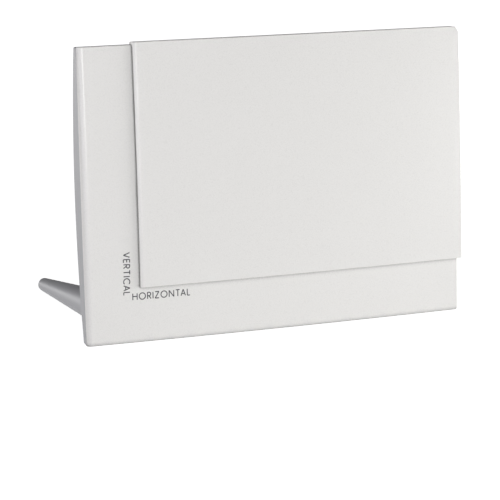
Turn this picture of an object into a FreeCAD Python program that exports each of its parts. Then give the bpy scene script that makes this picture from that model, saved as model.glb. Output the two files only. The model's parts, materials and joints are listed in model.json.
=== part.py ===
"""Flat indoor TV antenna: a crowned plastic panel that stands on its lower edge and one tapered leg.

The panel is built lying on its back: X across, Y up the panel, Z towards the front, with the middle of the
plate's face at the origin. Finished pieces are then leaned back on the lower edge and the leg's tip, with +Z
up, the front towards -Y and the origin under the middle of the whole antenna. All sizes are in millimetres.
"""
import FreeCAD
import Part

import math
import os

from FreeCAD import Vector

# Panel
plate_width = 227.9
plate_height = 162.4
plate_corner = 1.0          # corner radius, seen from the front
front_radius = 3000.0       # crown of the front
soft_edge = 0.5             # rounding of the crisp front edges
edge_roll = 3.4             # roll of the plate's left edge
edge_fall = 2.0             # how far the left edge has rolled down at a corner, at the parting line
wall = 2.2                  # plate and rear shell
rear_land = 5.4             # side of the rear shell, at a corner
far_draft = 1.5             # draft of its upper and right walls, in degrees
bulge_across = 2.0          # doming of the back, across the panel
bulge_up = 9.4              # doming of the back, up the panel
back_edge_round = 0.7
lip_height = 1.2            # lip of the plate inside the rear shell
lip_width = 1.0
lip_clearance = 0.3
rib_height = 2.4            # ribs inside the back
rib_width = 1.2
rib_pitch = 38.0

# Front cover
margin_left = 30.6          # plate left bare beside the cover
margin_bottom = 30.5        # and below it
cover_rise = 3.0            # cover's face above the plate's face
cover_overhang = 1.6        # cover beyond the plate's top and right edges
cover_wall = 1.8
cover_roll = 2.6            # roll of the cover's left edge
cover_roll_cut = 0.6        # part of the roll that the left wall cuts off
cover_far_corner = 3.6      # upper right corner
cover_gap = 0.15            # between the wrapped walls and the plate's rim
cover_seam = 0.8            # open joint under the left and lower walls
wrap_stop = 0.4             # wrapped walls end this far short of the parting line
foot_inset = 0.6            # feet of the cover behind the walls' outer faces, at the hooks
foot_side = 2.5             # feet beyond a hook's sides
hook_thickness = 1.4        # snap hooks that hold the cover to the plate
hook_width = 8.0
hook_barb = 0.8
hook_length = 1.8
hook_spacing = 52.0         # along the lower wall
hook_board_gap = 8.0        # upper left hook beyond the board's edge
hook_play = 0.1

# Leg
leg_inset = 17.0            # leg's axis from the plate's left and lower edges
leg_root_radius = 10.0
leg_tip_radius = 3.8
leg_tip_round = 2.0
leg_reach = 124.5           # leg's end behind the middle of the plate's face
leg_root_round = 0.8
spigot_radius = 6.0         # threaded end, drawn at its outer diameter
spigot_wall = 2.2
spigot_clearance = 0.1
core_tip_radius = 1.4       # moulded core of the leg
core_end = 12.0             # solid end of the leg
pad_border = 1.5            # flat pad on the back round the leg's root
pad_proud = 0.6
pad_round = 0.5
tower_wall = 3.0
tower_floor = 1.2
tower_gap = 0.4

# Housing screws, driven from the back
screw_inset_side = 28.0
screw_inset_edge = 31.0
screw_inset_middle = 23.0
screw_radius = 1.45
screw_length = 6.5
screw_head_radius = 2.8
screw_head_height = 2.0
screw_head_sink = 0.3
screw_clearance = 0.15
post_radius = 3.4
boss_radius = 4.6
boss_floor = 2.0
pilot_clearance = 0.03
pilot_spare = 0.5
drive_width = 0.8           # cross recess in a screw's head
drive_depth = 0.9

# Antenna board and its pieces
board_width = 176.0
board_height = 80.0
board_thickness = 1.6
board_corner = 3.0
board_gap = 3.0             # least room between the board and the plate
board_hole_inset = 6.0
board_post_radius = 2.8
board_screw_radius = 1.0
board_screw_length = 4.4
board_screw_head_radius = 2.2
board_screw_head_height = 1.5
arm_gap = 5.0               # between the inner ends of the radiators
arm_inner_width = 9.0
arm_outer_width = 62.0
arm_edge = 13.0             # radiator's outer end from the board's edge
arm_strip = 9.0             # width of the printed copper
copper = 0.1                # printed copper, drawn thicker than it is
can_width = 48.0
can_height = 30.0
can_depth = 4.2
can_sheet = 0.3
can_corner = 1.0
can_offset = 12.0           # can's middle above the board's middle

# Pieces under the can: sizes across, up and out from the board, places from the can's middle
amplifier_size = (4.5, 2.5, 1.5)
amplifier_place = (0.0, -2.0)
lead_size = (0.5, 1.2, 0.4)
lead_pitch = 1.5
tab_size = (1.7, 1.2, 0.4)
filter_size = (5.0, 5.0, 1.7)
filter_place = (-12.0, -2.0)
filter_corner = 0.4
balun_size = (7.0, 5.0, 3.2)
balun_place = (-12.0, 7.0)
balun_hole_radius = 0.8
balun_hole_pitch = 3.4
choke_place = (13.0, 5.0)
choke_radius = 2.6
choke_flange = 0.6
choke_waist_radius = 2.0
choke_waist = 2.0
capacitor_size = (2.0, 1.25, 0.9)
capacitor_place = (7.5, -3.0)   # first of two rows of three
capacitor_pitch = (3.4, -2.6)

# Coaxial socket
socket_edge = 13.0          # socket's axis above the board's lower edge
socket_reach = 9.0          # mouth behind the back
socket_inner_radius = 4.8
socket_outer_radius = 6.5
socket_base_radius = 8.0
socket_base_height = 2.0
socket_cup = 9.6            # depth of the mouth
socket_mouth_chamfer = 0.5
socket_hole_clearance = 0.25
socket_recess_radius = 9.5
socket_recess_sink = 0.9
contact_bore_radius = 1.2
contact_wall = 0.6
contact_setback = 1.0       # contact's end inside the mouth
contact_bore_length = 7.5

# Small sizes shared by several pieces
least_corner = 0.5          # least radius left on an inset corner
spare = 12.0                # how far cutting blocks reach past the panel
block_depth = 60.0

# Places worked out from the sizes above
half_width = plate_width / 2
half_height = plate_height / 2


def crown_radius(rise, half):
    """Radius of an arc that rises by this much over half its chord."""
    return (half * half + rise * rise) / (2 * rise)


def crown_drop(x, y, radius_across, radius_up):
    """How far a crowned surface has fallen at a point, from its middle."""
    fall = radius_up - math.sqrt(radius_up ** 2 - y ** 2)
    return radius_across - math.sqrt((radius_across - fall) ** 2 - x ** 2)


back_radius_across = crown_radius(bulge_across, half_width)
back_radius_up = crown_radius(bulge_up, half_height)
part_z = -crown_drop(half_width, half_height, front_radius, front_radius) - edge_fall
back_z = part_z - rear_land - crown_drop(half_width, half_height, back_radius_across, back_radius_up)


def face_height(x, y):
    """Height of the plate's face at a point."""
    return -crown_drop(x, y, front_radius, front_radius)


def back_height(x, y):
    """Height of the domed back at a point, below zero."""
    return back_z + crown_drop(x, y, back_radius_across, back_radius_up)


cover_left = margin_left - half_width
cover_bottom = margin_bottom - half_height
cover_right = half_width + cover_overhang
cover_top = half_height + cover_overhang
wrap_z = part_z + wrap_stop

leg_x = leg_inset - half_width
leg_y = leg_inset - half_height
pad_radius = leg_root_radius + pad_border
pad_inner = pad_radius / math.sqrt(2)
pad_z = back_height(leg_x + pad_inner, leg_y + pad_inner) - pad_proud
tower_radius = spigot_radius + spigot_clearance + tower_wall
tower_outer = tower_radius / math.sqrt(2)
tower_z = face_height(leg_x - tower_outer, leg_y - tower_outer) - wall - tower_gap
leg_taper = math.atan2(leg_root_radius - leg_tip_radius, leg_reach + pad_z)
tip_centre = leg_tip_radius + leg_tip_round * (math.tan(leg_taper) - 1 / math.cos(leg_taper))

# The panel leans back until its lower wall and the leg's tip share one floor
lean_up = leg_inset - tip_centre
lean_back = leg_reach - leg_tip_round + part_z
lean = math.acos(leg_tip_round / math.hypot(lean_up, lean_back)) - math.atan2(lean_back, lean_up)

board_front = -wall + face_height(board_width / 2, board_height / 2) - board_gap
board_back = board_front - board_thickness
socket_x = 0.0
socket_y = socket_edge - board_height / 2
socket_mouth = back_height(socket_x, socket_y) - socket_reach
socket_floor = back_height(socket_x, socket_y) + socket_recess_sink

screw_places = [
    (side * (half_width - screw_inset_side), edge * (half_height - screw_inset_edge))
    for side in (-1, 1)
    for edge in (-1, 1)
] + [(0.0, edge * (half_height - screw_inset_middle)) for edge in (-1, 1)]

board_screw_places = [
    (side * (board_width / 2 - board_hole_inset), edge * (board_height / 2 - board_hole_inset))
    for side in (-1, 1)
    for edge in (-1, 1)
]


def rounded_outline(left, right, bottom, top, radii, z):
    """Rectangle with rounded corners, given from lower left round to upper left."""
    corners = [(left, bottom, 1, 1), (right, bottom, -1, 1), (right, top, -1, -1), (left, top, 1, -1)]
    bend = 1 - math.sqrt(0.5)
    edges = []
    ends = []
    for index, ((x, y, inward_x, inward_y), radius) in enumerate(zip(corners, radii)):
        along_x = Vector(x + inward_x * radius, y, z)
        along_y = Vector(x, y + inward_y * radius, z)
        middle = Vector(x + inward_x * radius * bend, y + inward_y * radius * bend, z)
        first, last = (along_y, along_x) if index % 2 == 0 else (along_x, along_y)
        ends.append((first, last))
        edges.append(Part.Arc(first, middle, last).toShape())
    outline = []
    for index, arc in enumerate(edges):
        outline.append(arc)
        outline.append(Part.makeLine(ends[index][1], ends[(index + 1) % 4][0]))
    return Part.Wire(outline)


def plate_outline(inset, z):
    """Outline of the panel, pulled in by an inset."""
    radius = max(plate_corner - inset, least_corner)
    x, y = half_width - inset, half_height - inset
    return rounded_outline(-x, x, -y, y, [radius] * 4, z)


def prism(wire, top):
    """Solid from a flat outline up to a height."""
    return Part.Face(wire).extrude(Vector(0, 0, top - wire.BoundBox.ZMin))


def cylinder(radius, x, y, low, high):
    return Part.makeCylinder(radius, high - low, Vector(x, y, low))


def crowned_block(radius_across, radius_up, top):
    """Block under a crowned surface, made by turning an upright arc about a distant axis."""
    reach_x, reach_y = half_width + spare, half_height + spare
    low = top - crown_drop(0, reach_y, radius_across, radius_up)
    floor = top - block_depth
    outline = [(reach_y, low), (reach_y, floor), (-reach_y, floor), (-reach_y, low)]
    corners = [Vector(0, y, z) for y, z in outline]
    edges = [Part.makeLine(start, end) for start, end in zip(corners, corners[1:])]
    edges.append(Part.Arc(corners[-1], Vector(0, 0, top), corners[0]).toShape())
    section = Part.Face(Part.Wire(edges))
    centre = Vector(0, 0, top - radius_across)
    swing = math.degrees(math.asin(reach_x / (radius_across - block_depth)))
    section.rotate(centre, Vector(0, 1, 0), -swing)
    return section.revolve(centre, Vector(0, 1, 0), 2 * swing)


def front_block(lift):
    """Everything behind the plate's face, or behind a face that is lifted from it."""
    return crowned_block(front_radius + lift, front_radius + lift, lift)


def back_block(lift):
    """Everything in front of the domed back, or of a back that is lifted from it."""
    block = crowned_block(back_radius_across + lift, back_radius_up + lift, lift - back_z)
    block.rotate(Vector(0, 0, 0), Vector(1, 0, 0), 180)
    return block


def crowned_edges(shape):
    """Edges round the largest curved face."""
    curved = [face for face in shape.Faces if not isinstance(face.Surface, Part.Plane)]
    return max(curved, key=lambda face: face.Area).OuterWire.Edges


def corner_edge(shape, x, y):
    """Upright edge of a block that stands over a point."""
    corner, up = Vector(x, y, 0), Vector(0, 0, 1)
    near = [edge for edge in shape.Edges if edge.BoundBox.Center.distanceToLine(corner, up) < soft_edge]
    return [edge for edge in near if edge.BoundBox.ZLength > soft_edge]


def lid(left, right, bottom, top, low, lift, roll, roll_cut, far_corner):
    """Block behind the crowned front: its left edge is rolled, its other front edges are only softened."""
    start = Vector(left - roll_cut, bottom, low - roll)
    block = Part.makeBox(right - start.x, top - bottom, spare - start.z, start).common(front_block(lift))
    block = block.makeFillet(far_corner, corner_edge(block, right, top))
    block = block.makeFillet(plate_corner, corner_edge(block, right, bottom))
    rolled = [edge for edge in crowned_edges(block) if edge.BoundBox.XMax < left + soft_edge]
    block = block.makeFillet(roll, rolled)
    kept = Part.makeBox(right - left, top - bottom, block_depth, Vector(left, bottom, low))
    block = block.common(kept)
    crisp = [edge for edge in crowned_edges(block) if edge.BoundBox.XMax > left + 2 * roll]
    return block.makeFillet(soft_edge, crisp)


def plate_body():
    """Panel in front of the parting line, filled."""
    return lid(-half_width, half_width, -half_height, half_height, part_z, 0, edge_roll, 0, plate_corner)


def rear_body(inset, lift):
    """Panel behind the parting line, filled; the lower and left walls draft in by the lean, to stand flat."""
    depth = part_z - back_z + spare
    near = depth * math.tan(lean)
    far = depth * math.tan(math.radians(far_draft))
    x, y = half_width - inset, half_height - inset
    body = Part.makeWedge(-x, 0, -y, near - y, near - x, x, depth, y, y - far, x - far)
    body.rotate(Vector(0, 0, 0), Vector(1, 0, 0), -90)
    body.translate(Vector(0, 0, part_z))
    corners = [edge for edge in body.Edges if edge.BoundBox.ZLength > depth / 2]
    body = body.makeFillet(max(plate_corner - inset, least_corner), corners)
    return body.common(back_block(lift))


def hook_frame(x, y, turn):
    """Height of a hook's barb behind the plate's inner face, and the hook's placement."""
    placement = FreeCAD.Placement(Vector(x, y, 0), FreeCAD.Rotation(Vector(0, 0, 1), turn))
    return face_height(x, y) - wall - hook_play, placement


def hook_places():
    """Hooks under the cover's left wall and its lower wall, on the plate."""
    middle_x = (cover_left + cover_right) / 2
    inset = (cover_wall - hook_thickness) / 2
    left = [(cover_left + inset, y, 0) for y in (0, board_height / 2 + hook_board_gap)]
    lower = [(middle_x + step * hook_spacing, cover_bottom + inset, 90) for step in (-1, 0, 1)]
    return left + lower


def hook(x, y, turn):
    """Snap hook: a stem through the plate with a barb behind it."""
    inner, placement = hook_frame(x, y, turn)
    top = face_height(x, y) + cover_rise - cover_wall
    profile = [
        (0, top),
        (hook_thickness, top),
        (hook_thickness, inner),
        (hook_thickness + hook_barb, inner),
        (hook_thickness, inner - hook_length),
        (0, inner - hook_length),
    ]
    points = [Vector(px, -hook_width / 2, pz) for px, pz in profile]
    body = Part.Face(Part.makePolygon(points + points[:1])).extrude(Vector(0, hook_width, 0))
    body.Placement = placement
    return body


def hook_foot(x, y, turn):
    """Foot of the cover beside a hook's stem, before it is cut to the plate's face."""
    _, placement = hook_frame(x, y, turn)
    length = hook_width + 2 * foot_side
    start = Vector(foot_inset, -length / 2, face_height(x, y) - wall)
    foot = Part.makeBox(hook_thickness - foot_inset, length, cover_rise, start)
    foot.Placement = placement
    return foot


def hook_slot(x, y, turn):
    """Slot in the plate that the barb passes through."""
    inner, placement = hook_frame(x, y, turn)
    width = hook_thickness + hook_barb + hook_play
    length = hook_width + 2 * hook_play
    slot = Part.makeBox(width, length, spare, Vector(0, -length / 2, inner - hook_length))
    slot.Placement = placement
    return slot


def make_front_plate():
    """Shallow tray with a lip that centres the rear shell, posts for the screws and slots for the hooks."""
    outer = plate_body()
    under_face = front_block(-wall / 2)
    plate = outer.cut(prism(plate_outline(wall, part_z - 1), spare).common(front_block(-wall)))
    lip = wall + lip_clearance
    ring = prism(plate_outline(lip, part_z - lip_height), spare)
    ring = ring.cut(prism(plate_outline(lip + lip_width, part_z - lip_height), spare))
    plate = plate.fuse(ring.common(under_face))
    for x, y in screw_places:
        foot = screw_seat(x, y) + boss_floor
        pilot = foot + screw_length - boss_floor + pilot_spare
        plate = plate.fuse(cylinder(post_radius, x, y, foot, spare).common(under_face))
        plate = plate.cut(cylinder(screw_radius + pilot_clearance, x, y, foot, pilot))
    for x, y in board_screw_places:
        pilot = board_back + board_screw_length + pilot_spare
        plate = plate.fuse(cylinder(board_post_radius, x, y, board_front, spare).common(under_face))
        plate = plate.cut(cylinder(board_screw_radius + pilot_clearance, x, y, board_front, pilot))
    for place in hook_places():
        plate = plate.cut(hook_slot(*place))
    return outer, plate.removeSplitter()


def make_front_cover(plate_outer):
    """Raised cover: it stands on the plate at the left and below, and wraps back over the other two edges."""
    outer = lid(
        cover_left,
        cover_right,
        cover_bottom,
        cover_top,
        wrap_z,
        cover_rise,
        cover_roll,
        cover_roll_cut,
        cover_far_corner,
    )
    inner_radii = [least_corner, least_corner, plate_corner + cover_gap, least_corner]
    hollow = rounded_outline(
        cover_left + cover_wall,
        half_width + cover_gap,
        cover_bottom + cover_wall,
        half_height + cover_gap,
        inner_radii,
        wrap_z - 1,
    )
    cover = outer.cut(prism(hollow, spare).common(front_block(cover_rise - cover_wall)))
    cover = cover.cut(prism(plate_outline(-cover_gap, wrap_z - 1), spare).common(front_block(cover_seam)))
    for place in hook_places():
        cover = cover.fuse(hook_foot(*place).cut(plate_outer)).fuse(hook(*place))
    return cover.removeSplitter()


def screw_seat(x, y):
    """Height of the seat under a housing screw's head."""
    return back_height(x, y) + screw_head_sink + screw_head_height


def make_ribs():
    """Crossed ribs that stiffen the back from inside."""
    zone = back_block(-wall / 2).cut(back_block(-wall - rib_height))
    zone = zone.common(rear_body(wall / 2, 0))
    zone = zone.common(prism(plate_outline(0, back_z), part_z - lip_height - lip_clearance))
    ribs = []
    for step in (-2, -1, 1, 2):
        corner = Vector(step * rib_pitch - rib_width / 2, -half_height, back_z)
        ribs.append(Part.makeBox(rib_width, plate_height, block_depth, corner))
    for step in (-1, 1):
        corner = Vector(-half_width, step * rib_pitch - rib_width / 2, back_z)
        ribs.append(Part.makeBox(plate_width, rib_width, block_depth, corner))
    return ribs[0].multiFuse(ribs[1:]).common(zone)


def make_rear_shell():
    """Domed back with ribs, screw bosses, the leg's tower and the socket's opening."""
    outer = rear_body(0, 0)
    outer = outer.makeFillet(back_edge_round, crowned_edges(outer))
    shell = outer.cut(rear_body(wall, -wall))
    shell = shell.fuse(make_ribs())
    in_front_of_wall = back_block(-wall / 2)
    for x, y in screw_places:
        seat = screw_seat(x, y)
        shell = shell.fuse(cylinder(boss_radius, x, y, back_z, seat + boss_floor).common(in_front_of_wall))
        shell = shell.cut(cylinder(screw_head_radius + screw_clearance, x, y, back_z - 1, seat))
        shell = shell.cut(cylinder(screw_radius + screw_clearance, x, y, seat, part_z + spare))
    pad = cylinder(pad_radius, leg_x, leg_y, pad_z, back_height(leg_x - pad_inner, leg_y - pad_inner) + wall)
    rim = [edge for edge in pad.Edges if edge.BoundBox.ZMax < pad_z + pad_round]
    pad = pad.makeFillet(pad_round, rim)
    shell = shell.fuse(pad).fuse(cylinder(tower_radius, leg_x, leg_y, pad_z + wall, tower_z))
    bore = spigot_radius + spigot_clearance
    shell = shell.cut(cylinder(bore, leg_x, leg_y, pad_z - 1, tower_z - tower_floor))
    seat_ring = cylinder(socket_recess_radius + wall, socket_x, socket_y, back_z, socket_floor + wall)
    shell = shell.fuse(seat_ring.common(in_front_of_wall))
    shell = shell.cut(cylinder(socket_recess_radius, socket_x, socket_y, back_z - 1, socket_floor))
    hole = socket_outer_radius + socket_hole_clearance
    return shell.cut(cylinder(hole, socket_x, socket_y, back_z - 1, part_z)).removeSplitter()


def turned(profile, x, y):
    """Solid turned from a closed profile of edges in the XZ plane, set on an upright axis."""
    solid = Part.Face(Part.Wire(profile)).revolve(Vector(0, 0, 0), Vector(0, 0, 1), 360)
    solid.translate(Vector(x, y, 0))
    return solid


def path(points):
    """Straight edges through points given as radius and height."""
    corners = [Vector(radius, 0, height) for radius, height in points]
    return [Part.makeLine(start, end) for start, end in zip(corners, corners[1:])]


def arc(start, middle, end):
    """Arc through three points given as radius and height."""
    return Part.Arc(*[Vector(radius, 0, height) for radius, height in (start, middle, end)]).toShape()


def make_stand_leg():
    """Tapered leg with a rounded tip, a threaded end and a moulded core."""
    spigot_end = tower_z - tower_floor - spigot_clearance
    end_z = -leg_reach
    round_z = end_z + leg_tip_round
    side = (tip_centre + leg_tip_round * math.cos(leg_taper), round_z - leg_tip_round * math.sin(leg_taper))
    bend = leg_tip_round * math.sqrt(0.5)
    core_root = spigot_radius - spigot_wall
    shoulder = leg_root_radius - leg_root_round
    profile = path([
        (0, end_z + core_end),
        (core_tip_radius, end_z + core_end),
        (core_root, spigot_end),
        (spigot_radius, spigot_end),
        (spigot_radius, pad_z),
        (shoulder, pad_z),
    ])
    root_side = leg_root_radius - leg_root_round * math.tan(leg_taper)
    root_bend = (shoulder + leg_root_round * math.sqrt(0.5), pad_z - leg_root_round * (1 - math.sqrt(0.5)))
    root_end = (root_side, pad_z - leg_root_round)
    profile.append(arc((shoulder, pad_z), root_bend, root_end))
    profile += path([root_end, side])
    profile.append(arc(side, (tip_centre + bend, round_z - bend), (tip_centre, end_z)))
    profile += path([(tip_centre, end_z), (0, end_z), (0, end_z + core_end)])
    return turned(profile, leg_x, leg_y)


def make_screws(places, seat_of, shank, head, head_height, length):
    """Pan-head screws with a cross recess, driven forwards from their seats."""
    screws = []
    for x, y in places:
        seat = seat_of(x, y)
        crown = head_height / 2
        screw = cylinder(head, x, y, seat - head_height, seat)
        rim = [edge for edge in screw.Edges if edge.BoundBox.ZMax < seat - crown]
        screw = screw.makeFillet(crown, rim).fuse(cylinder(shank, x, y, seat, seat + length))
        low = seat - head_height - 1
        for slot_x, slot_y in ((head, drive_width), (drive_width, head)):
            corner = Vector(x - slot_x / 2, y - slot_y / 2, low)
            screw = screw.cut(Part.makeBox(slot_x, slot_y, 1 + drive_depth, corner))
        screws.append(screw.removeSplitter())
    return Part.makeCompound(screws)


def make_antenna_board():
    """Printed circuit board, held on the plate's posts by its corners."""
    x, y = board_width / 2, board_height / 2
    board = prism(rounded_outline(-x, x, -y, y, [board_corner] * 4, board_back), board_front)
    holes = [(board_screw_radius, hole_x, hole_y) for hole_x, hole_y in board_screw_places]
    holes.append((contact_bore_radius + contact_wall, socket_x, socket_y))
    for radius, hole_x, hole_y in holes:
        board = board.cut(cylinder(radius + screw_clearance, hole_x, hole_y, board_back - 1, board_front + 1))
    return board


def make_dipole_arm(side):
    """One half of the printed bow tie: a loop of copper strip that widens away from the feed point."""
    inner, outer = arm_gap / 2, board_width / 2 - arm_edge
    slope = (arm_outer_width - arm_inner_width) / 2 / (outer - inner)
    slant = arm_strip * math.hypot(1, slope)
    apex = inner + (slant - arm_inner_width / 2) / slope
    end = outer - arm_strip
    half_open = (end - apex) * slope

    def sheet(points):
        wire = Part.makePolygon([Vector(side * x, y, board_front) for x, y in points + points[:1]])
        return Part.Face(wire).extrude(Vector(0, 0, copper))

    low, high = arm_inner_width / 2, arm_outer_width / 2
    fan = sheet([(inner, -low), (outer, -high), (outer, high), (inner, low)])
    return fan.cut(sheet([(apex, 0), (end, -half_open), (end, half_open)]))


def make_shield_can():
    """Folded tinned sheet, open towards the board."""
    def box(inset):
        x, y = can_width / 2 - inset, can_height / 2 - inset
        radii = [can_corner - inset] * 4
        low = board_back - can_depth + inset
        return prism(rounded_outline(-x, x, can_offset - y, can_offset + y, radii, low), board_back)

    return box(0).cut(box(can_sheet))


def on_board(size, place):
    """Block that lies on the back of the board, under the can."""
    width, height, depth = size
    corner = Vector(place[0] - width / 2, can_offset + place[1] - height / 2, board_back - depth)
    return Part.makeBox(width, height, depth, corner)


def make_amplifier_chip():
    """Small amplifier package with three leads on one side and a tab on the other."""
    x, y = amplifier_place
    body = on_board(amplifier_size, amplifier_place)
    lead_y = y - (amplifier_size[1] + lead_size[1]) / 2
    tab_y = y + (amplifier_size[1] + tab_size[1]) / 2
    for step in (-1, 0, 1):
        body = body.fuse(on_board(lead_size, (x + step * lead_pitch, lead_y)))
    return body.fuse(on_board(tab_size, (x, tab_y))).removeSplitter()


def make_filter_block():
    """Band filter in a flat package with rounded corners."""
    block = on_board(filter_size, filter_place)
    upright = [edge for edge in block.Edges if edge.BoundBox.ZLength > filter_size[2] / 2]
    return block.makeFillet(filter_corner, upright)


def make_balun_core():
    """Ferrite block with two holes for its windings."""
    x, y = balun_place
    core = on_board(balun_size, balun_place)
    low_y = can_offset + y - balun_size[1]
    middle = board_back - balun_size[2] / 2
    for step in (-0.5, 0.5):
        start = Vector(x + step * balun_hole_pitch, low_y, middle)
        core = core.cut(Part.makeCylinder(balun_hole_radius, 2 * balun_size[1], start, Vector(0, 1, 0)))
    return core


def make_feed_choke():
    """Drum coil: two flanges on a waist."""
    x, y = choke_place[0], can_offset + choke_place[1]
    foot = board_back - choke_flange
    shoulder = foot - choke_waist
    coil = cylinder(choke_radius, x, y, foot, board_back)
    coil = coil.fuse(cylinder(choke_waist_radius, x, y, shoulder, foot))
    return coil.fuse(cylinder(choke_radius, x, y, shoulder - choke_flange, shoulder)).removeSplitter()


def make_chip_capacitors():
    """Two rows of chip capacitors beside the amplifier."""
    x, y = capacitor_place
    step_x, step_y = capacitor_pitch
    chips = [
        on_board(capacitor_size, (x + column * step_x, y + row * step_y))
        for row in range(2)
        for column in range(3)
    ]
    return Part.makeCompound(chips)


def make_socket():
    """Coaxial socket that stands on the board and comes out through the back."""
    inner, outer, base = socket_inner_radius, socket_outer_radius, socket_base_radius
    cup = socket_mouth + socket_cup
    body = turned(path([
        (inner, board_back),
        (base, board_back),
        (base, board_back - socket_base_height),
        (outer, board_back - socket_base_height),
        (outer, socket_mouth + socket_mouth_chamfer),
        (outer - socket_mouth_chamfer, socket_mouth),
        (inner + socket_mouth_chamfer, socket_mouth),
        (inner, socket_mouth + socket_mouth_chamfer),
        (inner, board_back),
    ]), socket_x, socket_y)
    pin = contact_bore_radius + contact_wall
    insulator = turned(path([
        (pin, board_back), (inner, board_back), (inner, cup), (pin, cup), (pin, board_back),
    ]), socket_x, socket_y)
    tip = socket_mouth + contact_setback
    blind = tip + contact_bore_length
    contact = turned(path([
        (0, board_front), (pin, board_front), (pin, tip), (contact_bore_radius, tip),
        (contact_bore_radius, blind), (0, blind), (0, board_front),
    ]), socket_x, socket_y)
    return body, insulator, contact


def build():
    """All pieces by name, in the panel's own frame."""
    plate_outer, front_plate = make_front_plate()
    socket_body, socket_insulator, socket_contact = make_socket()
    return {
        "front_plate": front_plate,
        "front_cover": make_front_cover(plate_outer),
        "rear_shell": make_rear_shell(),
        "stand_leg": make_stand_leg(),
        "antenna_board": make_antenna_board(),
        "dipole_arm_left": make_dipole_arm(-1),
        "dipole_arm_right": make_dipole_arm(1),
        "shield_can": make_shield_can(),
        "amplifier_chip": make_amplifier_chip(),
        "filter_block": make_filter_block(),
        "balun_core": make_balun_core(),
        "feed_choke": make_feed_choke(),
        "chip_capacitors": make_chip_capacitors(),
        "socket_body": socket_body,
        "socket_insulator": socket_insulator,
        "socket_contact": socket_contact,
        "housing_screws": make_screws(screw_places, screw_seat, screw_radius, screw_head_radius,
                                      screw_head_height, screw_length),
        "board_screws": make_screws(board_screw_places, lambda x, y: board_back, board_screw_radius,
                                    board_screw_head_radius, board_screw_head_height, board_screw_length),
    }


def stand_up(pieces):
    """Lean the panel back on its lower wall and the leg, and put the origin under the middle of the whole."""
    for shape in pieces.values():
        shape.rotate(Vector(0, 0, 0), Vector(1, 0, 0), 90 - math.degrees(lean))
    box = Part.makeCompound(list(pieces.values())).optimalBoundingBox(False, False)
    floor = -half_height * math.cos(lean) + part_z * math.sin(lean)
    shift = Vector(-box.Center.x, -box.Center.y, -floor)
    for shape in pieces.values():
        shape.translate(shift)
    return shift


os.makedirs("parts", exist_ok=True)
antenna = build()
move = stand_up(antenna)
for name, shape in antenna.items():
    shape.exportStep("parts/" + name + ".step")
    state = "valid" if shape.isValid() else "NOT VALID"
    print(name, state, len(shape.Solids), "solids", round(shape.Volume, 1), "mm3")
print("lean", round(math.degrees(lean), 3), "degrees, moved by", move)
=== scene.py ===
"""Finishes, printed words and studio for a flat indoor TV antenna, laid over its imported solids."""
import json
import math

import bpy
from bpy.props import FloatProperty, FloatVectorProperty, PointerProperty, StringProperty
from mathutils import Euler, Matrix, Vector


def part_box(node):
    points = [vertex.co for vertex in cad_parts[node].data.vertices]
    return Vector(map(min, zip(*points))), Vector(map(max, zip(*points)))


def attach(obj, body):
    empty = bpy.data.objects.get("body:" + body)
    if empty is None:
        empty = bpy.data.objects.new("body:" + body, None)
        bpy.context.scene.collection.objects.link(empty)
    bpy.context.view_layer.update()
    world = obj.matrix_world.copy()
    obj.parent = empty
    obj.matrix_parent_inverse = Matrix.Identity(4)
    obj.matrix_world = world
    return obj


bl_info = {
    "name": "Indoor TV Antenna",
    "version": (1, 0, 0),
    "blender": (4, 5, 0),
    "location": "3D View > Sidebar > Antenna",
    "description": "Finishes, printed words and studio for a flat indoor TV antenna",
    "category": "Object",
}

MM = 0.001
RIGHT_ANGLE = math.radians(90)
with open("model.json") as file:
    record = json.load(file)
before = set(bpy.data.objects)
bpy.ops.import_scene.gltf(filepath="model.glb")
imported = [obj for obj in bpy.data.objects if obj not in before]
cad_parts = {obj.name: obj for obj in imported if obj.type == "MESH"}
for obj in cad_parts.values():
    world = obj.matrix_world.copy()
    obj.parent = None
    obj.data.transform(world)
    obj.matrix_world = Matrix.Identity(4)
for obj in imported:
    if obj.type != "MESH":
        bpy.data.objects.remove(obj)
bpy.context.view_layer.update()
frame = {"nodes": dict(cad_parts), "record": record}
nodes = frame["nodes"]

# The socket's axis runs straight back from the panel, so it gives the panel's lean
mounts = {mount["name"]: mount for mount in frame["record"]["mounts"]}
socket_axis = Vector(mounts["antenna_socket"]["axis"])
lean = math.asin(-socket_axis.z)
panel_turn = RIGHT_ANGLE - lean
panel_up = Vector((0, math.sin(lean), math.cos(lean)))

# The words are measured from the plate's lower left corner, level with its front
plate_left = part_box("front_plate")[0].x
cover_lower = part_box("front_cover")[0].z
plate_lower = min(corner.co.dot(panel_up) for corner in nodes["front_plate"].data.vertices)
plate_front = max(corner.co.dot(-socket_axis) for corner in nodes["front_plate"].data.vertices)
plate_corner = Vector((plate_left, 0, 0)) + plate_lower * panel_up - plate_front * socket_axis

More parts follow.
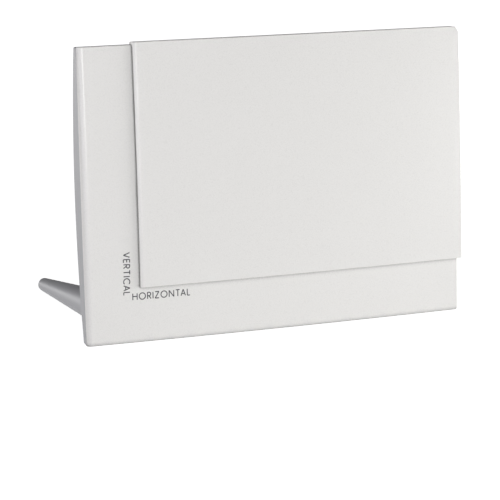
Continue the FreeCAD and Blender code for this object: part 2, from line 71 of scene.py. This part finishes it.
# Printed capitals, in cap heights: width, runs of straight strokes, and bends as centre, radius and angles
LETTERS = {
    "A": (0.74, [[(0, 0), (0.37, 1), (0.74, 0)], [(0.12, 0.32), (0.62, 0.32)]], []),
    "C": (0.84, [], [(0.5, 0.5, 0.5, 48, 312)]),
    "E": (0.48, [[(0.48, 1), (0, 1), (0, 0), (0.48, 0)], [(0, 0.53), (0.43, 0.53)]], []),
    "H": (0.71, [[(0, 0), (0, 1)], [(0.71, 0), (0.71, 1)], [(0, 0.53), (0.71, 0.53)]], []),
    "I": (0.0, [[(0, 0), (0, 1)]], []),
    "L": (0.42, [[(0, 1), (0, 0), (0.42, 0)]], []),
    "N": (0.76, [[(0, 0), (0, 1), (0.76, 0), (0.76, 1)]], []),
    "O": (1.0, [], [(0.5, 0.5, 0.5, 0, 360)]),
    "R": (0.55, [[(0, 0), (0, 1), (0.25, 1)], [(0.25, 0.46), (0, 0.46)], [(0.22, 0.46), (0.55, 0)]],
          [(0.25, 0.73, 0.27, 90, -90)]),
    "T": (0.64, [[(0, 1), (0.64, 1)], [(0.32, 1), (0.32, 0)]], []),
    "V": (0.72, [[(0, 1), (0.36, 0), (0.72, 1)]], []),
    "Z": (0.62, [[(0, 1), (0.62, 1), (0, 0), (0.62, 0)]], []),
}

# Pairs that are set closer than the rest, in cap heights
KERNING = {"TA": -0.14, "AL": -0.04, "CA": -0.06}

# Degrees that one straight piece of a bend spans, and the fewest pieces in a bend
BEND_STEP = 9
BEND_PIECES = 8

# Height from which the strokes drop on to the plate's face
DROP_HEIGHT = 10 * MM

# Sockets of the colour Mix node, whose names repeat for each kind of data
MIX_FACTOR = 0
MIX_FIRST = 6
MIX_SECOND = 7
MIX_RESULT = 2

# Reach of the painted shade at the joint, above and below the cover's lower edge
PLATE_SHADE_REACH_MM = (1.8, 4.5)
COVER_SHADE_REACH_MM = (5.5, 5.5)

# Heights over the cover's lower edge between which the reach passes from the one to the other
REACH_CHANGE_MM = (1.0, 2.0)

# Openness of a corner where the painted shade is deepest, and of one where it ends
PAINTED_SHADE_OPENNESS = (0.6, 0.8)

# Change of roughness over the grain, each way
GLOSS_CHANGE = 0.05

# Refraction of ABS
ABS_IOR = 1.53

WHITE = (1.0, 1.0, 1.0, 1.0)

# Half the floor's width, in metres
FLOOR_REACH = 6.0

# The point by the panel's middle that all lamps face
LAMP_AIM = (0.0, -0.05, 0.08)

# Lamps: name, the setting that holds the power, place, width and height in metres, and colour
LAMPS = (
    ("key_soft_box", "key", (-0.26, -2.14, 0.55), (0.8, 0.7), "#ffffff"),
    ("left_strip", "left", (-0.95, -0.75, 0.13), (1.2, 0.22), "#f8f6ff"),
    ("right_strip", "right", (0.86, -0.5, 0.09), (0.6, 0.18), "#ffffff"),
    ("back_left_strip", "back", (-1.3, 1.55, 0.13), (1.0, 0.2), "#ffffff"),
    ("back_right_strip", "back", (1.65, 1.2, 0.13), (1.0, 0.2), "#ffffff"),
)


class AntennaPlastic(bpy.types.PropertyGroup):
    """Moulded plastics of the housing."""
    front: StringProperty(
        name="Front",
        description="Plate and cover, sRGB hex",
        default="#e2e1de",
    )
    rear: StringProperty(
        name="Rear",
        description="Rear shell and leg, sRGB hex",
        default="#9a9a9d",
    )
    roughness: FloatProperty(
        name="Roughness",
        description="Satin of the front's mould",
        default=0.28,
        subtype="FACTOR",
    )
    rear_roughness: FloatProperty(
        name="Rear roughness",
        description="Matt of the rear's mould",
        default=0.48,
        subtype="FACTOR",
    )
    # Tones of the painted shade: the plate's colour beside the cover and the cover's walls by the plate are
    # darkened towards these
    plate_painted_shade: FloatProperty(
        name="Plate joint",
        description="Tone of the plate beside the cover",
        default=0.5,
        subtype="FACTOR",
    )
    cover_painted_shade: FloatProperty(
        name="Cover joint",
        description="Tone of the cover's walls by the plate",
        default=0.25,
        subtype="FACTOR",
    )
    grain: FloatProperty(
        name="Grain",
        description="Grain of the mould's spark erosion, mm",
        default=0.45,
    )


class AntennaPrint(bpy.types.PropertyGroup):
    """Printed words for the two stances."""
    cap_height: FloatProperty(
        name="Cap height",
        description="Height of the capitals",
        default=3.55 * MM,
        unit="LENGTH",
    )
    stroke: FloatProperty(
        name="Stroke",
        description="Width of a printed stroke",
        default=0.56 * MM,
        unit="LENGTH",
    )
    ink_height: FloatProperty(
        name="Ink height",
        description="Thickness of the pad-printed ink",
        default=0.03 * MM,
        unit="LENGTH",
    )
    ink: StringProperty(
        name="Ink",
        description="Ink, sRGB hex",
        default="#4a4a4d",
    )
    side_start: FloatVectorProperty(
        name="Side word",
        description="Start of the word by the left edge, from the plate's corner",
        size=2,
        default=(21.9 * MM, 50.1 * MM),
        unit="LENGTH",
    )
    side_turn: FloatProperty(
        name="Side turn",
        description="Turn of the side word, which reads downwards",
        default=math.radians(-91),
        subtype="ANGLE",
    )
    side_tracking: FloatProperty(
        name="Side tracking",
        description="Space between letters of the side word, in cap heights",
        default=0.325,
    )
    lower_start: FloatVectorProperty(
        name="Lower word",
        description="Start of the word by the lower edge, from the plate's corner",
        size=2,
        default=(26.65 * MM, 23.75 * MM),
        unit="LENGTH",
    )
    lower_tracking: FloatProperty(
        name="Lower tracking",
        description="Space between letters of the lower word, in cap heights",
        default=0.345,
    )


class AntennaStudio(bpy.types.PropertyGroup):
    """Camera, light and floor."""
    eye: FloatVectorProperty(
        name="Camera",
        description="Place of the camera",
        default=(-0.53733, -1.2184, 0.36243),
        subtype="TRANSLATION",
    )
    yaw: FloatProperty(
        name="Yaw",
        description="Turn of the view to the right",
        default=math.radians(24.094),
        subtype="ANGLE",
    )
    pitch: FloatProperty(
        name="Pitch",
        description="Tilt of the view downwards",
        default=math.radians(13.974),
        subtype="ANGLE",
    )
    roll: FloatProperty(
        name="Roll",
        description="Turn of the view about its own axis",
        default=math.radians(-1.12),
        subtype="ANGLE",
    )
    lens: FloatProperty(
        name="Lens",
        description="Focal length",
        default=170.07,
        unit="CAMERA",
    )
    horizon: FloatProperty(
        name="Horizon",
        description="Even light from the sides",
        default=0.15,
    )
    zenith: FloatProperty(
        name="Zenith",
        description="Even light from overhead",
        default=0.2,
    )
    backdrop: FloatProperty(
        name="Backdrop",
        description="Height at which reflections pass from backdrop to ceiling",
        default=math.radians(3),
        subtype="ANGLE",
    )
    ceiling: FloatProperty(
        name="Ceiling",
        description="Paleness of the ceiling in reflections",
        default=0.1,
    )
    key: FloatProperty(
        name="Key light",
        description="Soft box in front",
        default=17.8,
        subtype="POWER",
    )
    left: FloatProperty(
        name="Left light",
        description="Low strip, left",
        default=3.5,
        subtype="POWER",
    )
    right: FloatProperty(
        name="Right light",
        description="Low strip, right",
        default=4.3,
        subtype="POWER",
    )
    back: FloatProperty(
        name="Back light",
        description="Each low strip behind",
        default=15.0,
        subtype="POWER",
    )
    floor_glow: FloatProperty(
        name="Floor glow",
        description="Paleness that the floor adds for the camera and in reflections",
        default=0.85,
    )


def linear(code):
    """Colour for a shader from an sRGB hex value."""
    levels = [int(code[i:i + 2], 16) / 255 for i in (1, 3, 5)]
    return tuple(c / 12.92 if c <= 0.04045 else ((c + 0.055) / 1.055) ** 2.4 for c in levels) + (1.0,)


def add(tree, kind, settings=None, inputs=None):
    """Add a node, set its properties, and fill its inputs with values, outputs or nodes' first outputs."""
    node = tree.nodes.new(kind)
    for name, value in (settings or {}).items():
        setattr(node, name, value)
    for name, value in (inputs or {}).items():
        if isinstance(value, bpy.types.Node):
            value = value.outputs[0]
        if isinstance(value, bpy.types.NodeSocket):
            tree.links.new(value, node.inputs[name])
        else:
            node.inputs[name].default_value = value
    return node


def new_material(name):
    """Empty material and its node tree."""
    material = bpy.data.materials.new(name)
    material.use_nodes = True
    material.node_tree.nodes.clear()
    return material, material.node_tree


def paint_corner_shade(tree, place, colour, tone, above_mm, below_mm):
    """Paint shade into a colour in closed-in corners, with a reach above the cover's lower edge and one below
    it.
    """
    height = add(tree, "ShaderNodeSeparateXYZ", {}, {"Vector": place}).outputs["Z"]
    reach = add(tree, "ShaderNodeMapRange", {}, {
        "Value": height,
        "From Min": cover_lower + REACH_CHANGE_MM[0] * MM,
        "From Max": cover_lower + REACH_CHANGE_MM[1] * MM,
        "To Min": below_mm * MM,
        "To Max": above_mm * MM,
    })
    openness = add(tree, "ShaderNodeAmbientOcclusion", {"samples": 8}, {"Distance": reach})
    level = add(tree, "ShaderNodeMapRange", {}, {
        "Value": openness.outputs["AO"],
        "From Min": PAINTED_SHADE_OPENNESS[0],
        "From Max": PAINTED_SHADE_OPENNESS[1],
        "To Min": tone,
        "To Max": 1.0,
    })
    toned = add(tree, "ShaderNodeMix", {"data_type": "RGBA", "blend_type": "MULTIPLY"}, {
        MIX_FACTOR: 1.0,
        MIX_FIRST: colour,
        MIX_SECOND: level,
    })
    return toned.outputs[MIX_RESULT]


def surface(name, code, *, roughness, grain_mm, relief_mm,
            tint=0.04, drift_mm=40.0, metallic=0.0, ior=1.5, joint=None):
    """Finish with a fine relief, a slow drift of colour and a little change of gloss.

    A joint holds the tone of the shade painted into closed-in corners, and that painted shade's reaches above
    and below the cover's lower edge, in millimetres.
    """
    material, tree = new_material(name)
    place = add(tree, "ShaderNodeTexCoord").outputs["Object"]
    grain = add(tree, "ShaderNodeTexNoise", {}, {
        "Vector": place,
        "Scale": 1 / (grain_mm * MM),
        "Detail": 3.0,
    }).outputs["Fac"]
    drift = add(tree, "ShaderNodeTexNoise", {}, {
        "Vector": place,
        "Scale": 1 / (drift_mm * MM),
        "Detail": 2.0,
    }).outputs["Fac"]
    levels = linear(code)[:3]
    colour = add(tree, "ShaderNodeMix", {"data_type": "RGBA"}, {
        MIX_FACTOR: drift,
        MIX_FIRST: [level * (1 - tint) for level in levels] + [1.0],
        MIX_SECOND: [level * (1 + tint) for level in levels] + [1.0],
    }).outputs[MIX_RESULT]
    if joint:
        # Shade is painted into the colour where closed-in corners would hold it
        colour = paint_corner_shade(tree, place, colour, *joint)
    gloss = add(tree, "ShaderNodeMapRange", {}, {
        "Value": grain,
        "To Min": roughness - GLOSS_CHANGE,
        "To Max": roughness + GLOSS_CHANGE,
    })
    bump = add(tree, "ShaderNodeBump", {}, {
        "Height": grain,
        "Distance": relief_mm * MM,
        "Strength": 1.0,
    })
    shader = add(tree, "ShaderNodeBsdfPrincipled", {}, {
        "Base Color": colour,
        "Roughness": gloss,
        "Normal": bump,
        "Metallic": metallic,
        "IOR": ior,
    })
    add(tree, "ShaderNodeOutputMaterial", {}, {"Surface": shader})
    return material


def dress(material, *names):
    """Give solids one finish all over."""
    for name in names:
        mesh = nodes[name].data
        mesh.materials.clear()
        mesh.materials.append(material)


def letter_strokes(letter):
    """Width of one capital and its strokes as point lists, in cap heights."""
    width, runs, bends = LETTERS[letter]
    strokes = [[start, end] for run in runs for start, end in zip(run, run[1:])]
    for x, y, radius, first, last in bends:
        steps = max(BEND_PIECES, int(abs(last - first) / BEND_STEP))
        angles = [math.radians(first + (last - first) * i / steps) for i in range(steps + 1)]
        strokes.append([(x + radius * math.cos(a), y + radius * math.sin(a)) for a in angles])
    return width, strokes


def word_mesh(name, words, cap_height):
    """Edges of all strokes of the words, flat in the panel's own plane."""
    points, edges = [], []
    for word, start, turn, tracking in words:
        spin = Matrix.Rotation(turn, 2)
        pen = 0.0
        for letter, following in zip(word, word[1:] + " "):
            width, strokes = letter_strokes(letter)
            for stroke in strokes:
                first = len(points)
                for x, y in stroke:
                    flat = spin @ Vector(((pen + x) * cap_height, y * cap_height)) + Vector(start)
                    points.append((flat.x, flat.y, 0.0))
                edges += [(first + i, first + i + 1) for i in range(len(stroke) - 1)]
            pen += width + tracking + KERNING.get(letter + following, 0.0)
    mesh = bpy.data.meshes.new(name)
    mesh.from_pydata(points, edges, [])
    return mesh


def ink_tree():
    """Node tree that turns stroke lines into ribbons of ink and lays them on the plate's face."""
    tree = bpy.data.node_groups.new("Ink on the plate", "GeometryNodeTree")
    wanted = {
        "Strokes": "Geometry",
        "Plate": "Object",
        "Stroke width": "Float",
        "Ink height": "Float",
        "Corner": "Vector",
        "Turn": "Float",
        "Reach": "Float",
        "Ink": "Material",
    }
    for label, kind in wanted.items():
        tree.interface.new_socket(label, in_out="INPUT", socket_type="NodeSocket" + kind)
    tree.interface.new_socket("Words", in_out="OUTPUT", socket_type="NodeSocketGeometry")
    given = add(tree, "NodeGroupInput").outputs

    # The plate lies flat, with its corner at the origin
    back = add(tree, "ShaderNodeMath", {"operation": "MULTIPLY"}, {0: given["Turn"], 1: -1.0})
    lay = add(tree, "ShaderNodeCombineXYZ", {}, {"X": back})
    away = add(tree, "ShaderNodeVectorMath", {"operation": "SCALE"}, {0: given["Corner"], "Scale": -1.0})
    plate = add(tree, "GeometryNodeObjectInfo", {"transform_space": "ORIGINAL"}, {"Object": given["Plate"]})
    moved = add(tree, "GeometryNodeTransform", {}, {
        "Geometry": plate.outputs["Geometry"],
        "Translation": away,
    })
    flat = add(tree, "GeometryNodeTransform", {}, {"Geometry": moved, "Rotation": lay})

    # Each stroke gets the ink's section
    curve = add(tree, "GeometryNodeMeshToCurve", {}, {"Mesh": given["Strokes"]})
    level = add(tree, "GeometryNodeSetCurveNormal", {"mode": "Z_UP"}, {"Curve": curve})
    section = add(tree, "GeometryNodeCurvePrimitiveQuadrilateral", {"mode": "RECTANGLE"}, {
        "Width": given["Stroke width"],
        "Height": given["Ink height"],
    })
    ribbon = add(tree, "GeometryNodeCurveToMesh", {}, {
        "Curve": level,
        "Profile Curve": section,
        "Fill Caps": True,
    })

    # Each point of the ribbons drops on to the plate's face
    position = add(tree, "GeometryNodeInputPosition")
    place = add(tree, "ShaderNodeSeparateXYZ", {}, {"Vector": position}).outputs
    above = add(tree, "ShaderNodeCombineXYZ", {}, {"X": place["X"], "Y": place["Y"], "Z": given["Reach"]})
    length = add(tree, "ShaderNodeMath", {"operation": "MULTIPLY"}, {0: given["Reach"], 1: 2.0})
    hit = add(tree, "GeometryNodeRaycast", {}, {
        "Target Geometry": flat,
        "Source Position": above,
        "Ray Direction": (0.0, 0.0, -1.0),
        "Ray Length": length,
    })
    face = add(tree, "ShaderNodeSeparateXYZ", {}, {"Vector": hit.outputs["Hit Position"]}).outputs
    height = add(tree, "ShaderNodeMath", {"operation": "ADD"}, {0: face["Z"], 1: place["Z"]})
    on_face = add(tree, "ShaderNodeCombineXYZ", {}, {"X": place["X"], "Y": place["Y"], "Z": height})
    laid = add(tree, "GeometryNodeSetPosition", {}, {"Geometry": ribbon, "Position": on_face})

    # The words go back to the leaning panel
    lift = add(tree, "ShaderNodeCombineXYZ", {}, {"X": given["Turn"]})
    stood = add(tree, "GeometryNodeTransform", {}, {
        "Geometry": laid,
        "Rotation": lift,
        "Translation": given["Corner"],
    })
    real = add(tree, "GeometryNodeRealizeInstances", {}, {"Geometry": stood})
    inked = add(tree, "GeometryNodeSetMaterial", {}, {"Geometry": real, "Material": given["Ink"]})
    add(tree, "NodeGroupOutput", {}, {"Words": inked})
    return tree


def from_tree(name, mesh, tree, values):
    """Run a node tree on a mesh and keep the result as a plain mesh at the origin."""
    worker = bpy.data.objects.new(name + "_lines", mesh)
    bpy.context.scene.collection.objects.link(worker)
    modifier = worker.modifiers.new(tree.name, "NODES")
    modifier.node_group = tree
    for item in tree.interface.items_tree:
        if item.in_out == "INPUT" and item.name in values:
            modifier[item.identifier] = values[item.name]
    graph = bpy.context.evaluated_depsgraph_get()
    made = bpy.data.meshes.new_from_object(worker.evaluated_get(graph))
    made.name = name
    bpy.data.objects.remove(worker)
    if not made.polygons:
        raise RuntimeError(name + " came out empty")
    piece = bpy.data.objects.new(name, made)
    bpy.context.scene.collection.objects.link(piece)
    return piece


def seen_directly(tree):
    """One for rays of the camera, reflections and clear materials, nought for the light on the object."""
    path = add(tree, "ShaderNodeLightPath").outputs
    mirrored = add(tree, "ShaderNodeMath", {"operation": "MAXIMUM"}, {
        0: path["Is Glossy Ray"],
        1: path["Is Transmission Ray"],
    })
    seen = add(tree, "ShaderNodeMath", {"operation": "MAXIMUM"}, {0: path["Is Camera Ray"], 1: mirrored})
    return seen.outputs[0]


def lay_floor(scene, glow_level):
    """Wide floor that keeps the antenna's shadow."""
    mesh = bpy.data.meshes.new("floor")
    corners = [(x * FLOOR_REACH, y * FLOOR_REACH, 0) for x, y in ((-1, -1), (1, -1), (1, 1), (-1, 1))]
    mesh.from_pydata(corners, [], [(0, 1, 2, 3)])
    floor = bpy.data.objects.new("floor", mesh)
    scene.collection.objects.link(floor)
    # Paper: flat white with no sheen, and paler to the eye than the light on it would make it
    sweep, tree = new_material("Matt white paper sweep")
    paper = add(tree, "ShaderNodeBsdfDiffuse", {}, {"Color": linear("#f2f2f2")})
    strength = add(tree, "ShaderNodeMath", {"operation": "MULTIPLY"}, {0: seen_directly(tree), 1: glow_level})
    glow = add(tree, "ShaderNodeEmission", {}, {"Strength": strength})
    both = add(tree, "ShaderNodeAddShader", {}, {0: paper, 1: glow})
    add(tree, "ShaderNodeOutputMaterial", {}, {"Surface": both})
    mesh.materials.append(sweep)


def white_world(studio):
    """World that lights the object evenly, and looks white to the camera and in low reflections."""
    world = bpy.data.worlds.new("White studio")
    world.use_nodes = True
    tree = world.node_tree
    tree.nodes.clear()
    way = add(tree, "ShaderNodeTexCoord").outputs["Generated"]
    height = add(tree, "ShaderNodeSeparateXYZ", {}, {"Vector": way}).outputs["Z"]
    level = add(tree, "ShaderNodeMapRange", {}, {
        "Value": height,
        "To Min": studio.horizon,
        "To Max": studio.zenith,
    })
    light = add(tree, "ShaderNodeBackground", {}, {"Color": WHITE, "Strength": level})
    backdrop = add(tree, "ShaderNodeMapRange", {}, {
        "Value": height,
        "From Max": math.sin(studio.backdrop),
        "To Min": 1.0,
        "To Max": studio.ceiling,
    })
    camera_ray = add(tree, "ShaderNodeLightPath").outputs["Is Camera Ray"]
    shown = add(tree, "ShaderNodeMath", {"operation": "MAXIMUM"}, {0: camera_ray, 1: backdrop})
    white = add(tree, "ShaderNodeBackground", {}, {"Color": WHITE, "Strength": shown})
    mixed = add(tree, "ShaderNodeMixShader", {}, {0: seen_directly(tree), 1: light, 2: white})
    add(tree, "ShaderNodeOutputWorld", {}, {"Surface": mixed})
    return world


def hang_lamp(scene, name, place, size, power, colour):
    """Area light that faces the antenna."""
    lamp = bpy.data.lights.new(name, "AREA")
    lamp.shape = "RECTANGLE"
    lamp.size = size[0]
    lamp.size_y = size[1]
    lamp.energy = power
    lamp.color = linear(colour)[:3]
    box = bpy.data.objects.new(name, lamp)
    box.location = place
    box.visible_camera = False
    box.rotation_euler = (Vector(LAMP_AIM) - Vector(place)).to_track_quat("-Z", "Y").to_euler()
    scene.collection.objects.link(box)


def place_camera(scene, studio):
    """Camera at the eye, turned by yaw, pitch and roll."""
    camera = bpy.data.cameras.new("camera")
    camera.lens = studio.lens
    holder = bpy.data.objects.new("camera", camera)
    level = Euler((RIGHT_ANGLE - studio.pitch, 0, -studio.yaw)).to_matrix()
    turn = level @ Matrix.Rotation(-studio.roll, 3, "Z")
    holder.matrix_world = Matrix.Translation(studio.eye) @ turn.to_4x4()
    scene.collection.objects.link(holder)
    scene.camera = holder


class ANTENNA_OT_housing(bpy.types.Operator):
    """Finish the moulded housing and the leg"""
    bl_idname = "antenna.housing"
    bl_label = "Housing"

    def execute(self, context):
        plastic = context.scene.antenna_plastic
        # ABS from a spark-eroded mould: a soft even sheen with no sparkle, and hardly any change of colour
        # The real grain is finer, and is drawn coarse enough to show
        white_abs = {
            "code": plastic.front,
            "roughness": plastic.roughness,
            "grain_mm": plastic.grain,
            "relief_mm": 0.006,
            "tint": 0.008,
            "drift_mm": 60.0,
            "ior": ABS_IOR,
        }
        # Painted shade darkens the plate's colour in the corner where it meets the cover, and darkens the
        # cover's own foot more
        plate_painted_shade = (plastic.plate_painted_shade, *PLATE_SHADE_REACH_MM)
        plate = surface("Warm white ABS, spark-eroded satin", joint=plate_painted_shade, **white_abs)
        cover_painted_shade = (plastic.cover_painted_shade, *COVER_SHADE_REACH_MM)
        cover = surface("Warm white ABS, satin, toned at the joint", joint=cover_painted_shade, **white_abs)
        # The same plastic in grey from a coarser mould, duller behind
        rear = surface("Light grey ABS, spark-eroded matt", plastic.rear, roughness=plastic.rear_roughness,
                       grain_mm=plastic.grain, relief_mm=0.008, tint=0.012, drift_mm=45.0, ior=ABS_IOR)
        dress(plate, "front_plate")
        dress(cover, "front_cover")
        dress(rear, "rear_shell", "stand_leg")
        return {"FINISHED"}


class ANTENNA_OT_words(bpy.types.Operator):
    """Print the two stance words on the plate"""
    bl_idname = "antenna.words"
    bl_label = "Printed words"

    def execute(self, context):
        printed = context.scene.antenna_print
        words = [
            ("VERTICAL", printed.side_start, printed.side_turn, printed.side_tracking),
            ("HORIZONTAL", printed.lower_start, 0.0, printed.lower_tracking),
        ]
        lines = word_mesh("stance_words", words, printed.cap_height)
        # Pad-printing ink: flat and dull, a little uneven where the pad lifts off
        ink = surface("Dark grey pad-printing ink", printed.ink, roughness=0.6,
                      grain_mm=0.3, relief_mm=0.002, tint=0.08, drift_mm=2.0)
        piece = from_tree("stance_words", lines, ink_tree(), {
            "Plate": nodes["front_plate"],
            "Stroke width": printed.stroke,
            "Ink height": printed.ink_height,
            "Corner": plate_corner,
            "Turn": panel_turn,
            "Reach": DROP_HEIGHT,
            "Ink": ink,
        })
        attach(piece, "root")
        return {"FINISHED"}


class ANTENNA_OT_socket(bpy.types.Operator):
    """Finish the coaxial socket"""
    bl_idname = "antenna.socket"
    bl_label = "Socket"

    def execute(self, context):
        # Nickel on turned brass: bright with a warm cast and a fine unevenness from the tool
        nickel = surface("Nickel-plated turned brass", "#c9c5bc", roughness=0.22,
                         grain_mm=0.12, relief_mm=0.001, tint=0.03, drift_mm=6.0, metallic=1.0)
        # Natural polyethylene: waxy and milky
        milky = surface("Natural polyethylene", "#e6e3da", roughness=0.5,
                        grain_mm=0.4, relief_mm=0.004, tint=0.02, drift_mm=5.0, ior=1.51)
        dress(nickel, "socket_body", "socket_contact")
        dress(milky, "socket_insulator")
        return {"FINISHED"}


class ANTENNA_OT_screws(bpy.types.Operator):
    """Finish the screws"""
    bl_idname = "antenna.screws"
    bl_label = "Screws"

    def execute(self, context):
        # Zinc-plated steel: cool grey, slightly clouded by its passivation
        zinc = surface("Zinc-plated steel, clear passivated", "#b4b7ba", roughness=0.34,
                       grain_mm=0.25, relief_mm=0.002, tint=0.06, drift_mm=2.5, metallic=1.0)
        dress(zinc, "housing_screws", "board_screws")
        return {"FINISHED"}


class ANTENNA_OT_board(bpy.types.Operator):
    """Finish the board and its pieces inside the housing"""
    bl_idname = "antenna.board"
    bl_label = "Board"

    def execute(self, context):
        # Solder mask over glass cloth: deep green and uneven, as the weave shows through
        mask = surface("Green solder mask on glass epoxy", "#1f5a33", roughness=0.35,
                       grain_mm=0.6, relief_mm=0.006, tint=0.1)
        # Copper under a clear coat: warm and evenly bright
        copper = surface("Printed copper, lacquered", "#c98a5e", roughness=0.35,
                         grain_mm=0.5, relief_mm=0.003, metallic=1.0)
        # Tinplate: bright and cool, with the faint unevenness of rolled sheet
        tinplate = surface("Tinned steel sheet", "#c4c6c8", roughness=0.28,
                           grain_mm=0.8, relief_mm=0.003, metallic=1.0)
        # Epoxy moulded round a chip: near black and dull
        epoxy = surface("Black moulding epoxy", "#191919", roughness=0.55, grain_mm=0.1, relief_mm=0.004)
        # Ceramic as it comes from the kiln: tan and dry, with no glaze
        ceramic = surface("Fired tan ceramic", "#9c8468", roughness=0.5, grain_mm=0.15, relief_mm=0.003)
        # Ferrite pressed from powder and sintered: charcoal and dry, with a fine grain
        ferrite = surface("Sintered ferrite", "#2b2a2c", roughness=0.6, grain_mm=0.12, relief_mm=0.005)
        dress(mask, "antenna_board")
        dress(copper, "dipole_arm_left", "dipole_arm_right")
        dress(tinplate, "shield_can")
        dress(epoxy, "amplifier_chip")
        dress(ceramic, "filter_block", "chip_capacitors")
        dress(ferrite, "balun_core", "feed_choke")
        return {"FINISHED"}


class ANTENNA_OT_studio(bpy.types.Operator):
    """Set the floor, the light and the camera"""
    bl_idname = "antenna.studio"
    bl_label = "Studio"

    def execute(self, context):
        scene = context.scene
        studio = scene.antenna_studio
        scene.view_settings.view_transform = "Standard"
        lay_floor(scene, studio.floor_glow)
        scene.world = white_world(studio)
        for name, setting, place, size, colour in LAMPS:
            hang_lamp(scene, name, place, size, getattr(studio, setting), colour)
        place_camera(scene, studio)
        return {"FINISHED"}


GROUPS = {
    "antenna_plastic": AntennaPlastic,
    "antenna_print": AntennaPrint,
    "antenna_studio": AntennaStudio,
}

OPERATORS = (
    ANTENNA_OT_housing,
    ANTENNA_OT_words,
    ANTENNA_OT_socket,
    ANTENNA_OT_screws,
    ANTENNA_OT_board,
    ANTENNA_OT_studio,
)


class ANTENNA_PT_panel(bpy.types.Panel):
    """Sizes, colours and steps of the antenna"""
    bl_idname = "ANTENNA_PT_panel"
    bl_label = "Indoor TV Antenna"
    bl_space_type = "VIEW_3D"
    bl_region_type = "UI"
    bl_category = "Antenna"

    def draw(self, context):
        for key, group in GROUPS.items():
            box = self.layout.box()
            for name in group.__annotations__:
                box.prop(getattr(context.scene, key), name)
        for operator in OPERATORS:
            self.layout.operator(operator.bl_idname)


def register():
    for key, group in GROUPS.items():
        bpy.utils.register_class(group)
        setattr(bpy.types.Scene, key, PointerProperty(type=group))
    for operator in OPERATORS:
        bpy.utils.register_class(operator)
    bpy.utils.register_class(ANTENNA_PT_panel)


def unregister():
    bpy.utils.unregister_class(ANTENNA_PT_panel)
    for operator in reversed(OPERATORS):
        bpy.utils.unregister_class(operator)
    for key, group in GROUPS.items():
        delattr(bpy.types.Scene, key)
        bpy.utils.unregister_class(group)


def main():
    register()
    bpy.ops.antenna.housing()
    bpy.ops.antenna.words()
    bpy.ops.antenna.socket()
    bpy.ops.antenna.screws()
    bpy.ops.antenna.board()
    bpy.ops.antenna.studio()


if __name__ == "__main__":
    main()
